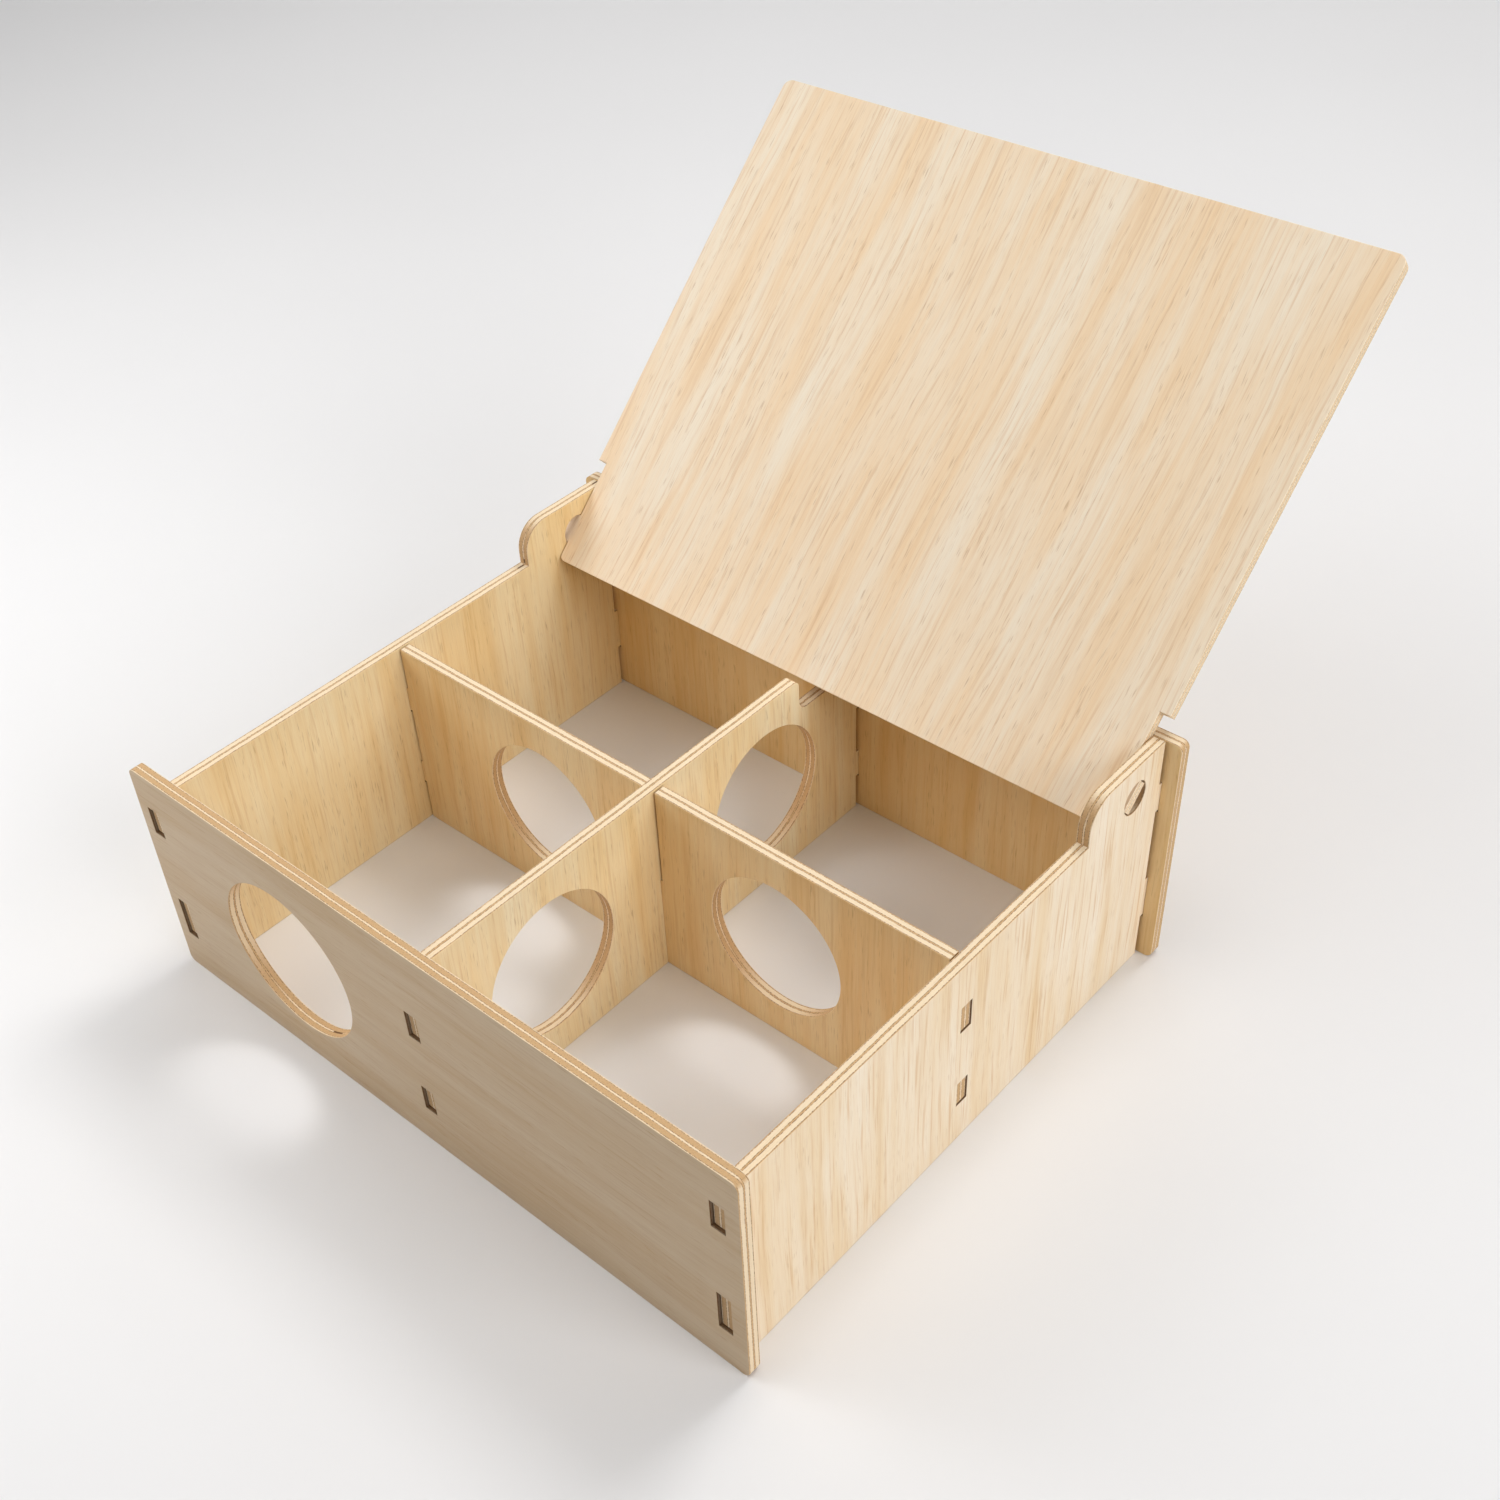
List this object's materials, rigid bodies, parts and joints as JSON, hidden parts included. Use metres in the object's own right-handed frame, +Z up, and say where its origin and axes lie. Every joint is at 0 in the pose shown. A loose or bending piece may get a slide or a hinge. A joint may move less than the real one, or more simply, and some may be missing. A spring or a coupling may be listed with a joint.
{
  "type": "toy box",
  "caption": "Plywood toy box of slotted panels, open below, with crossed dividers cut by round doorways, a round entry hole in the front and a flip lid on flat pivot tabs.",
  "frame": {"origin": "middle of the base where the dividers cross, on the surface that the box stands on", "axes": "+X to the right seen from the front, +Y from the front panel to the hinge side, +Z up"},
  "size_m": [0.3, 0.379, 0.2416],
  "materials": {
    "front_plywood": "bare sanded plywood, faint grain across",
    "wall_plywood": "bare sanded plywood, upright grain",
    "divider_plywood": "bare sanded plywood, upright grain",
    "lid_plywood": "bare sanded plywood, grain from the hinge to the free edge"
  },
  "bodies": {
    "box": {"front_panel": "front_plywood", "back_panel": "wall_plywood", "left_side": "wall_plywood", "right_side": "wall_plywood", "centre_divider": "divider_plywood", "cross_divider": "divider_plywood"},
    "lid": {"lid": "lid_plywood"}
  },
  "joints": [
    {"name": "lid_hinge", "type": "hinge", "parent": "box", "child": "lid", "pos_m": [0, 0.1004, 0.09405], "axis": [1, 0, 0], "range_deg": [0, 136.52]}
  ]
}
